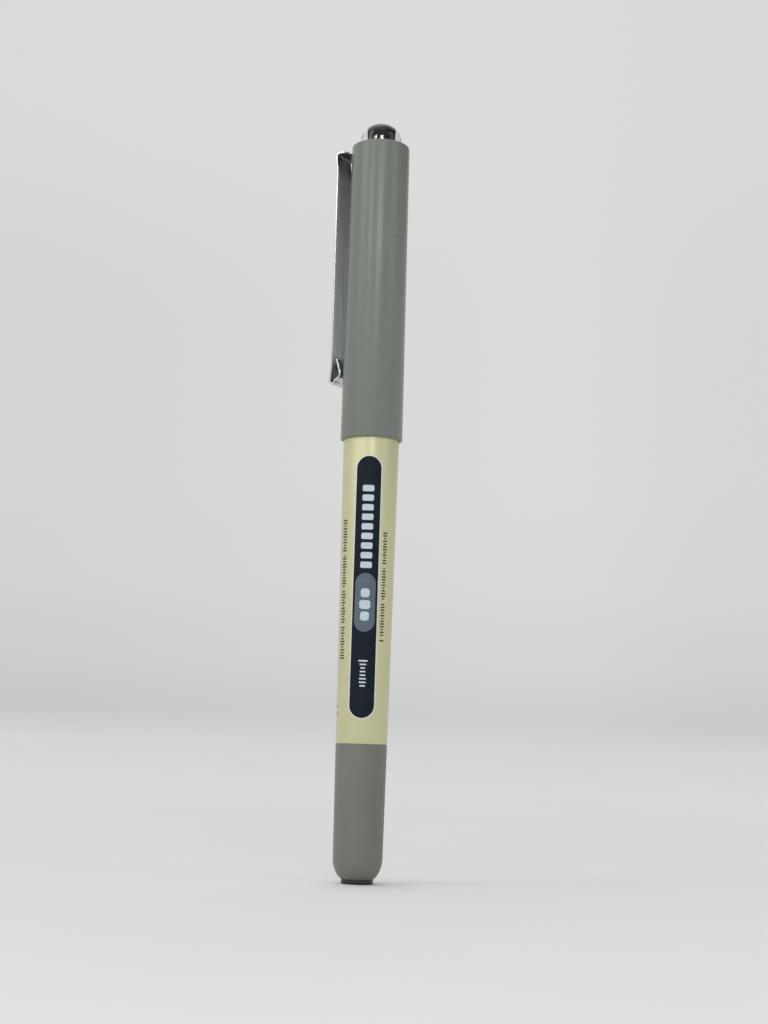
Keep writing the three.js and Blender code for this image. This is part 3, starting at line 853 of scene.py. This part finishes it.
def build_cap():
    """The cap's drafted tube, with the crown's socket in its top and the clip's slot in its wall."""
    seat = barrel_seat + FACE_GAP
    top_radius = cap_radius(cap_top)
    profile = rounded(
        [
            (LIP_BORE, cap_mouth, 0.06),
            (CAP_MOUTH_RADIUS, cap_mouth, 0.32),
            (top_radius, cap_top, CAP_EDGE),
            (CROWN_SOCKET, cap_top, 0.06),
            (CROWN_SOCKET, SOCKET_FLOOR, 0),
            (cap_radius(SOCKET_FLOOR) - CAP_WALL, SOCKET_FLOOR, 0),
            (cap_radius(seat) - CAP_WALL, seat, 0),
            (LIP_BORE, seat, 0),
        ],
        8,
        closed=True,
    )
    cap = lathe("cap_shell", profile, closed=True)
    slot_low = (-top_radius - 1, -SLOT_HALF_WIDTH, bridge - SLOT_HALF_HEIGHT)
    slot_high = (-CROWN_SOCKET + 0.6, SLOT_HALF_WIDTH, bridge + SLOT_HALF_HEIGHT)
    return cut_box(cap, slot_low, slot_high)


place(build_cap(), "cap", "grey_plastic", grey, "cap_tube")


LINER_GAP = 0.25
LINER_WALL = 0.7
LINER_END = 1.1
LINER_COLLAR = 2.4


def build_liner():
    """A cup over the nose, held in the cap by two collars."""
    bore = NOSE_RADIUS + LINER_GAP
    body = bore + LINER_WALL
    ceiling = liner_top - LINER_END
    collar = liner_mouth + 1.5
    profile = rounded(
        [
            (0, ceiling, 0),
            (bore - 0.4, ceiling, 0.4),
            (bore, liner_mouth, 0.05),
            (body, liner_mouth, 0.1),
            (body, collar, 0.05),
            (LINER_RADIUS, collar, 0.1),
            (LINER_RADIUS, collar + LINER_COLLAR, 0.1),
            (body, collar + LINER_COLLAR, 0.05),
            (body, liner_top - LINER_COLLAR, 0.05),
            (LINER_RADIUS, liner_top - LINER_COLLAR, 0.1),
            (LINER_RADIUS, liner_top, 0.1),
            (0, liner_top, 0),
        ],
        3,
    )
    return lathe("cap_liner", profile, sides=INNER_SIDES)


place(build_liner(), "cap", "natural_plastic", liner_plastic, "inner_cap")

# The hole is a little smaller than the insert, so that no air shows between black and clear.
INSERT_OVERLAP = 0.02
INSERT_HOLE = INSERT_RADIUS - INSERT_OVERLAP
INSERT_ROUND = INSERT_HOLE * 0.6


def build_crown():
    """The clear crown, hollow for the insert and notched for the clip's leg."""
    wall_top = cap_top + CROWN_WALL_HEIGHT
    hole_top = insert_top - INSERT_OVERLAP
    hole = ellipse(0, hole_top - INSERT_ROUND, INSERT_HOLE, INSERT_ROUND, 90, 0, 12)
    dome = ellipse(0, wall_top, CROWN_RADIUS, crown_top - wall_top, 0, 90, 28)
    profile = [(0, hole_top), *hole[1:], (INSERT_HOLE, crown_rear), (CROWN_RADIUS, crown_rear)]
    # The ring just under the dome keeps the wall's smooth shading upright.
    profile += [(CROWN_RADIUS, wall_top - 0.1), *dome[:-1], (0, crown_top)]
    crown = lathe("clear_crown", profile, sharp_deg=SHARP_SOFT)
    notch_low = (-CROWN_RADIUS - 1, -SLOT_HALF_WIDTH, bridge - CLIP_LEG - 2 * SLOT_GAP)
    notch_high = (-clip_leg + CLIP_HALF + SLOT_GAP, SLOT_HALF_WIDTH, bridge + SLOT_HALF_HEIGHT)
    return cut_box(crown, notch_low, notch_high)


place(build_crown(), "cap", "clear_plastic", crown_clear, "crown_dome")


def build_crown_pin():
    """The black insert: a pin with a rounded top."""
    arc = ellipse(0, insert_top - INSERT_ROUND, INSERT_RADIUS, INSERT_ROUND, 0, 90, 14)
    profile = [(0, insert_rear), (INSERT_RADIUS - 0.1, insert_rear), (INSERT_RADIUS, insert_rear + 0.1)]
    return lathe("crown_pin", [*profile, *arc[:-1], (0, insert_top)], sides=INNER_SIDES)


place(build_crown_pin(), "cap", "black_plastic", pin_black, "crown_insert")

# ---- Pocket clip ------------------------------------------------------------------------------------

CLIP_TOP_WIDTH = 5.2
CLIP_END_WIDTH = 4.3
CLIP_BEND = 0.7
CLIP_TAB_BEND = 0.35
CLIP_FOLD = 0.5
CLIP_REACH = 11  # how far under the bridge the arm's finer bands go
TONGUE_LINE = [(0.83, 0.3), (1, 0.5), (0.8, 0.72), (0.5, 0.95)]
TONGUE_GAP = 0.12  # between the tongue's bump and the cap
CLIP_DISH = 0.3
CLIP_TONGUE_CROWN = 0.33
CLIP_STANDOFF = 2.8  # from the cap's top edge to the arm's middle
ARM = cap_radius(cap_top) + CLIP_STANDOFF


def arc_points(centre_out, centre_z, radius, start_deg, end_deg, steps):
    arc = ellipse(centre_out, centre_z, radius, radius, start_deg, end_deg, steps)
    return [Vector(p) for p in arc]


def spline(points, steps=10):
    """A smooth curve through points, with each end's direction taken from its neighbour."""
    out = []
    padded = [points[0] * 2 - points[1], *points, points[-1] * 2 - points[-2]]
    for a, b, c, d in zip(padded, padded[1:], padded[2:], padded[3:]):
        for k in range(steps):
            t = k / steps
            square = (2 * a - 5 * b + 4 * c - d) * t**2
            cube = (3 * b - a - 3 * c + d) * t**3
            out.append(0.5 * (2 * b + (c - a) * t + square + cube))
    return [*out, points[-1]]


def clip_line():
    """The strip's middle line, as (distance outwards, z), from the tab's end to the tongue's."""
    bump = cap_radius(clip_end + CLIP_TONGUE / 2) + TONGUE_GAP + CLIP_HALF
    back = ARM - 2 * CLIP_FOLD
    start, stop = clip_leg + CLIP_TAB_BEND, ARM - CLIP_BEND
    straight = bridge - CLIP_REACH - (clip_end + 2)
    drops = [CLIP_BEND + (CLIP_REACH - CLIP_BEND) * k / 8 for k in range(1, 9)]
    line = [Vector((clip_leg, bridge - CLIP_LEG)), Vector((clip_leg, bridge - CLIP_LEG / 2))]
    line += arc_points(start, bridge - CLIP_TAB_BEND, CLIP_TAB_BEND, 180, 90, 8)
    line += [Vector((start + (stop - start) * k / 12, bridge)) for k in range(1, 12)]
    line += arc_points(stop, bridge - CLIP_BEND, CLIP_BEND, 90, 0, 14)
    line += [Vector((ARM, bridge - drop)) for drop in drops]
    line += [Vector((ARM, bridge - CLIP_REACH - straight * k / 20)) for k in range(1, 21)]
    line += arc_points(ARM - CLIP_FOLD, clip_end + CLIP_FOLD + CLIP_HALF, CLIP_FOLD, 0, -180, 22)
    tongue = [Vector((back + (bump - back) * out, clip_end + up * CLIP_TONGUE)) for out, up in TONGUE_LINE]
    return line + spline([line[-1], *tongue])[1:]


def smoothstep(value, low, high):
    t = min(1, max(0, (value - low) / (high - low)))
    return t * t * (3 - 2 * t)


TONGUE_TOP = clip_end + CLIP_TONGUE + 1


def clip_width(out, z):
    """Narrows down the arm, and to the tab where the strip enters the cap."""
    down = (clip_top - z) / (clip_top - clip_end)
    arm_width = CLIP_TOP_WIDTH + (CLIP_END_WIDTH - CLIP_TOP_WIDTH) * down
    if z <= TONGUE_TOP:
        return arm_width
    wall = cap_radius(cap_top)
    return CLIP_TAB_WIDTH + (arm_width - CLIP_TAB_WIDTH) * smoothstep(out, wall + 0.3, wall + 1.2)


def clip_dish(out, z):
    """How far out the strip's edges lie from its middle: the arm is dished, the tongue crowned."""
    above_fold = smoothstep(z, clip_end + 1, clip_end + 3)
    if z < TONGUE_TOP and out < ARM - CLIP_FOLD:
        return CLIP_TONGUE_CROWN * above_fold
    return -CLIP_DISH * above_fold * (1 - smoothstep(z, bridge - 3, bridge - 1))


STRIP_CORNER = 0.11
STRIP_CORNER_STEPS = 4
STRIP_STEPS = 12


def strip_section(width):
    """A flat strip's cross-section, (across, through) points in order, with rounded edges."""
    points = []
    half_w, half_t = width / 2 - STRIP_CORNER, CLIP_HALF - STRIP_CORNER
    for sx, st, start in ((1, 1, 0), (-1, 1, 90), (-1, -1, 180), (1, -1, 270)):
        for k in range(STRIP_CORNER_STEPS + 1):
            a = math.radians(start + 90 * k / STRIP_CORNER_STEPS)
            across = sx * half_w + STRIP_CORNER * math.cos(a)
            points.append((across, st * half_t + STRIP_CORNER * math.sin(a)))
        if sx == st:
            edge = half_w * sx
            depth = st * (half_t + STRIP_CORNER)
            points += [(edge - 2 * edge * k / STRIP_STEPS, depth) for k in range(1, STRIP_STEPS)]
    return points


def build_clip():
    """Sweeps the strip's section along its line. Faces on its inner side take the second material."""
    line = clip_line()
    line = [p for i, p in enumerate(line) if i == 0 or (p - line[i - 1]).length > 1e-4]
    bm = bmesh.new()
    rings = []
    last = len(line) - 1
    for i, p in enumerate(line):
        along = (line[min(i + 1, last)] - line[max(i - 1, 0)]).normalized()
        through = Vector((along.y, -along.x))
        width = clip_width(p.x, p.y)
        ring = []
        for across, depth in strip_section(width):
            spot = p + through * depth
            out = spot.x + clip_dish(p.x, p.y) * (2 * across / width) ** 2
            ring.append(bm.verts.new((-out * MM, -across * MM, spot.y * MM)))
        rings.append(ring)
    inner = [depth > CLIP_HALF - 0.02 for _, depth in strip_section(1)]
    for low, high in zip(rings, rings[1:]):
        for k in range(len(low)):
            n = (k + 1) % len(low)
            face = bm.faces.new([low[k], low[n], high[n], high[k]])
            face.material_index = int(inner[k] and inner[n])
    bm.faces.new(rings[0])
    bm.faces.new(rings[-1])
    return finish_mesh("clip_strip", bm, SHARP_SOFT)


clip = build_clip()
# Placing the clip clears its materials, and with them which face has which.
inner_faces = [face.index for face in clip.data.polygons if face.material_index]
place(clip, "clip", "clip_steel", clip_steel, "pocket_clip")
# The inner faces take the steel with painted shade in the bend and the fold.
clip.data.materials.append(clip_inner_painted_shade)
for index in inner_faces:
    clip.data.polygons[index].material_index = 1

# ---- Floor, world, lights, camera -----------------------------------------------------------------

FLOOR_FLAT = 450
FLOOR_EDGE = 1500
FLOOR_RISE = 62
# The card's colour is painted darker near the pen and lighter far off, standing in for how the light falls
# across it.
FLOOR_NEAR = 100  # the card is darker up to here, and lighter from the next distance on
FLOOR_FAR = 700
FLOOR_FADE = 1150
FLOOR_GONE = FLOOR_EDGE - 50
FLOOR_STEPS = 24
FLOOR_SIDES = 96
FLOOR_DROP = 0.6  # the card is made this much lower, and its object is raised by as much


def floor_material():
    """Pale card with a faint tooth, with painted light: lighter far off than near the pen. It fades out
    towards its far edge.
    """
    s = Shading("floor_card_painted_light", Roughness=0.9)
    distance = s.nodes.new("ShaderNodeVectorMath")
    distance.operation = "LENGTH"
    s.links.new(s.place, distance.inputs[0])
    away = distance.outputs["Value"]
    # Painted light and shade: the near colour is darker and the far colour lighter.
    near = s.mottled((0.805, 0.813, 0.815), (0.825, 0.833, 0.835), 60, 3)
    far = s.mottled((0.915, 0.921, 0.923), (0.935, 0.941, 0.943), 60, 3)
    s.drive("Base Color", s.mix(s.remap(away, 0, 1, FLOOR_NEAR * MM, FLOOR_FAR * MM), near, far))
    s.bump(s.noise(0.8, 3), 0.01)
    s.drive("Alpha", s.remap(away, 1, 0, FLOOR_FADE * MM, FLOOR_GONE * MM))
    return s.material


def build_floor():
    """A level card whose far edge rises a little all round."""
    profile = [(0, -FLOOR_DROP), (FLOOR_FLAT, -FLOOR_DROP)]
    for k in range(1, FLOOR_STEPS + 1):
        out = FLOOR_FLAT + (FLOOR_EDGE - FLOOR_FLAT) * k / FLOOR_STEPS
        profile.append((out, -FLOOR_DROP + FLOOR_RISE * (k / FLOOR_STEPS) ** 2))
    floor = lathe("floor", profile, sides=FLOOR_SIDES, sharp_deg=60)
    floor.location.z = FLOOR_DROP * MM
    return floor


floor = assign(build_floor(), floor_material())

CAMERA_AZIMUTH = 30.0
CAMERA_DISTANCE = 320.0
CAMERA_HEIGHT = 23.5
CAMERA_PITCH = 7.79
CAMERA_YAW = 0.493
CAMERA_ROLL = 1.83
CAMERA_LENS = 61.66


def directions(azimuth):
    """Level directions away from a camera at this azimuth and to its right."""
    a = math.radians(azimuth)
    return Vector((-math.sin(a), math.cos(a), 0)), Vector((math.cos(a), math.sin(a), 0))


def turned(first, second, degrees):
    """Two directions at a right angle, turned together from the first towards the second."""
    a = math.radians(degrees)
    return first * math.cos(a) + second * math.sin(a), second * math.cos(a) - first * math.sin(a)


def build_camera():
    forward, right = directions(CAMERA_AZIMUTH)
    up = Vector((0, 0, 1))
    place_at = -forward * CAMERA_DISTANCE * MM + up * CAMERA_HEIGHT * MM
    forward, right = turned(forward, right, CAMERA_YAW)
    forward, up = turned(forward, up, CAMERA_PITCH)
    right, up = turned(right, up, CAMERA_ROLL)
    data = bpy.data.cameras.new("camera")
    data.lens = CAMERA_LENS
    data.sensor_width = 36
    data.clip_start = 0.01
    camera = link("camera", data)
    axes = Matrix((right, up, -forward)).transposed().to_4x4()
    camera.matrix_world = Matrix.Translation(place_at) @ axes
    bpy.context.scene.camera = camera


build_camera()

LIGHT_AIM = 70  # height of the pen's middle
# Name, azimuth to the right of the camera's, elevation, distance, (width, height) and power, in
# degrees, metres and watts.
AREA_LIGHTS = [
    ("front_lamp", 5, 22.7, 1.2, (0.36, 0.05), 1.2),
    ("front_strip", -31, 22.7, 1.2, (0.2, 0.05), 0.65),
    ("window", -25, 16, 1.2, (1.5, 0.5), 1.2),
    ("left_box", -64, 34, 1.6, (0.6, 1.0), 4.0),
    ("right_box", 60, 35, 1.8, (0.9, 1.2), 3.5),
]
TOP_POWER = 0.7
TOP_SPREAD = 80
TOP_TILT = 18
TOP_TURN = 190


def area_light(name, azimuth, elevation, distance, size, power):
    """A soft light that faces the pen's middle."""
    a, e = math.radians(CAMERA_AZIMUTH + azimuth), math.radians(elevation)
    away = Vector((math.sin(a) * math.cos(e), -math.cos(a) * math.cos(e), math.sin(e)))
    data = bpy.data.lights.new(name, "AREA")
    data.shape = "RECTANGLE"
    data.size, data.size_y = size
    data.energy = power
    light = link(name, data)
    light.location = Vector((0, 0, LIGHT_AIM * MM)) + away * distance
    light.rotation_euler = away.to_track_quat("Z", "Y").to_euler()


def top_light():
    """A broad light from above and a little behind the pen."""
    data = bpy.data.lights.new("soft_top", "SUN")
    data.energy = TOP_POWER
    data.angle = math.radians(TOP_SPREAD)
    light = link("soft_top", data)
    light.rotation_euler = (math.radians(TOP_TILT), 0, math.radians(CAMERA_AZIMUTH + TOP_TURN))


for settings in AREA_LIGHTS:
    area_light(*settings)
top_light()

# Brightness of the room, low down and high up, by the angle from the camera's side of the pen,
# positive to the right.
WORLD_LOW = [
    (-180, 0.700),
    (-168, 0.665),
    (-125, 0.66),
    (-90, 0.62),
    (-45, 0.45),
    (-22, 0.46),
    (0, 0.44),
    (24, 0.60),
    (45, 0.74),
    (100, 0.84),
    (130, 0.76),
    (168, 0.680),
    (174, 0.715),
    (180, 0.700),
]
WORLD_HIGH = [
    (-180, 0.72),
    (-130, 0.66),
    (-90, 0.55),
    (-45, 0.35),
    (-15, 0.50),
    (0, 0.60),
    (24, 0.50),
    (45, 0.06),
    (130, 0.06),
    (155, 0.68),
    (180, 0.72),
]
# What that brightness is multiplied by, by the sine of the height over the horizon.
HORIZON_DIP = [(0.0, 0.900), (0.019, 0.875), (0.058, 0.935), (0.10, 0.985), (0.16, 1.0), (1.0, 1.0)]
# The sines of the heights between which the low band passes into the high one.
HIGH_FROM = math.sin(math.radians(13))
HIGH_TO = math.sin(math.radians(21))
ROOM_TINT = (0.992, 0.997, 1)


def build_world():
    """A pale room: low down it is bright all round, and high up it is dark on the right."""
    world = bpy.data.worlds.new("studio")
    bpy.context.scene.world = world
    world.use_nodes = True
    nodes, links = world.node_tree.nodes, world.node_tree.links

    def add(kind, value=None, **settings):
        node = nodes.new(kind)
        for key, setting in settings.items():
            setattr(node, key, setting)
        if value:
            links.new(value, node.inputs[0])
        return node

    def ramp(value, stops):
        node = add("ShaderNodeValToRGB", value)
        node.color_ramp.interpolation = "EASE"
        fill_ramp(node.color_ramp, stops, ROOM_TINT)
        return node.outputs["Color"]

    def blend(factor, first, second, how="MIX"):
        node = add("ShaderNodeMix", data_type="RGBA", blend_type=how)
        colours = [socket for socket in node.inputs if socket.type == "RGBA"]
        links.new(first, colours[0])
        links.new(second, colours[1])
        if factor:
            links.new(factor, node.inputs["Factor"])
        else:
            node.inputs["Factor"].default_value = 1
        return next(socket for socket in node.outputs if socket.type == "RGBA")

    around = nodes.new("ShaderNodeTexCoord").outputs["Generated"]
    turn = add("ShaderNodeVectorRotate", around, rotation_type="Z_AXIS")
    turn.inputs["Angle"].default_value = math.radians(90 - CAMERA_AZIMUTH)
    split = add("ShaderNodeSeparateXYZ", turn.outputs["Vector"])
    angle = add("ShaderNodeMath", split.outputs["Y"], operation="ARCTAN2")
    links.new(split.outputs["X"], angle.inputs[1])
    share = add("ShaderNodeMapRange", angle.outputs["Value"])
    share.inputs["From Min"].default_value = -math.pi
    share.inputs["From Max"].default_value = math.pi
    low, high = (
        ramp(share.outputs["Result"], [((degrees + 180) / 360, level) for degrees, level in stops])
        for stops in (WORLD_LOW, WORLD_HIGH)
    )
    height = add("ShaderNodeMapRange", split.outputs["Z"], interpolation_type="SMOOTHSTEP")
    height.inputs["From Min"].default_value = HIGH_FROM
    height.inputs["From Max"].default_value = HIGH_TO
    room = blend(height.outputs["Result"], low, high)
    dip = ramp(split.outputs["Z"], HORIZON_DIP)
    room = blend(None, room, dip, "MULTIPLY")
    links.new(room, nodes["Background"].inputs["Color"])


build_world()
bpy.context.scene.view_settings.view_transform = "Standard"
